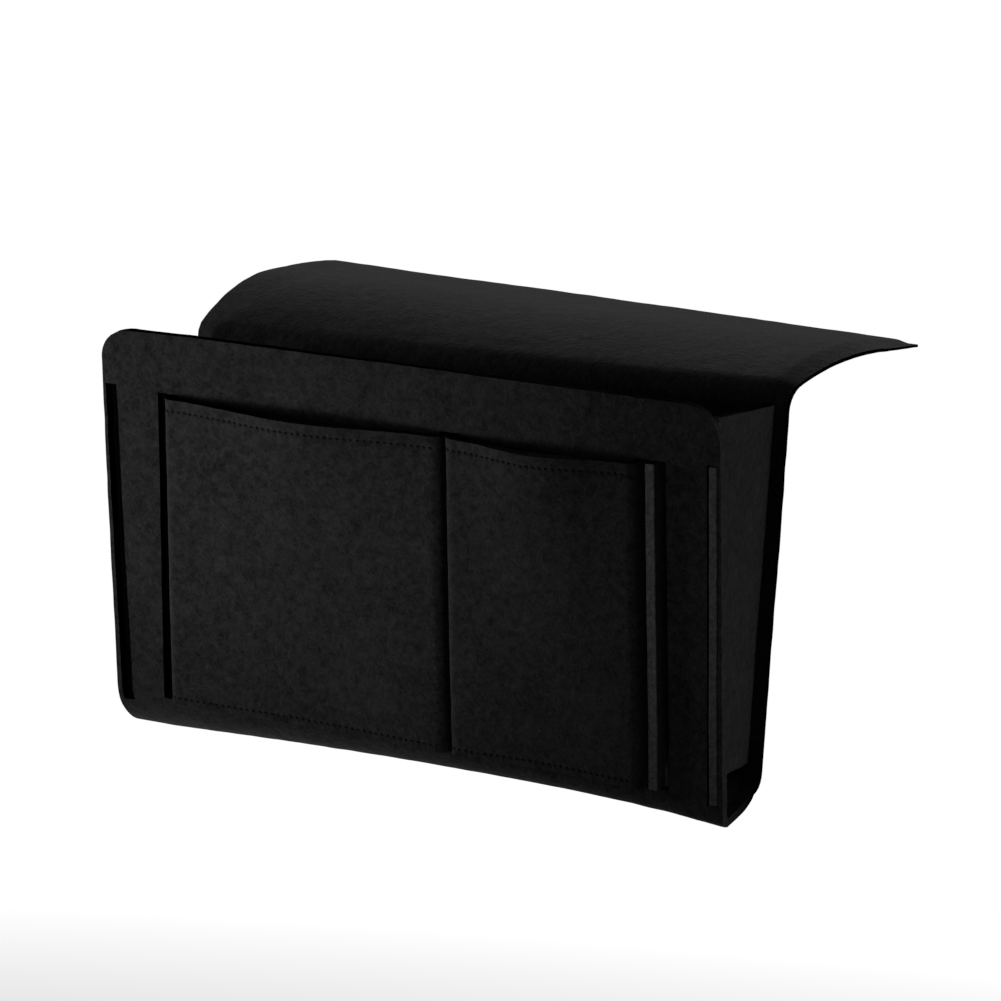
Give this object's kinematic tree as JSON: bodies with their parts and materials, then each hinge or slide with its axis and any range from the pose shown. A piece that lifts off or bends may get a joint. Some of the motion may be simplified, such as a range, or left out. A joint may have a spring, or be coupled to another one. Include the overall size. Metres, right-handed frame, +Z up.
{
  "type": "bedside caddy",
  "caption": "Black felt caddy that hangs beside a bed: an open pouch with side gussets, pockets on its front, and a flap that is tucked under the mattress.",
  "frame": {"origin": "middle of the flat end of the flap, on its underside, where it rests on the bed base", "axes": "+Z up, +X to the right along the caddy's length as seen from the front, +Y towards the bed, so the pockets face -Y"},
  "size_m": [0.3195, 0.2088, 0.2084],
  "materials": {
    "felt": "matt, fibrous felt"
  },
  "bodies": {
    "flap": {"mattress_flap": "felt"},
    "caddy": {"body_sheet": "felt", "left_gusset": "felt", "right_gusset": "felt", "wide_pocket": "felt", "narrow_pocket": "felt", "pocket_end_strip": "felt"}
  },
  "joints": [
    {"name": "flap_fold", "type": "hinge", "parent": "flap", "child": "caddy", "pos_m": [0, -0.09294, -0.0164], "axis": [1, 0, 0], "range_deg": [-90, 80]}
  ]
}
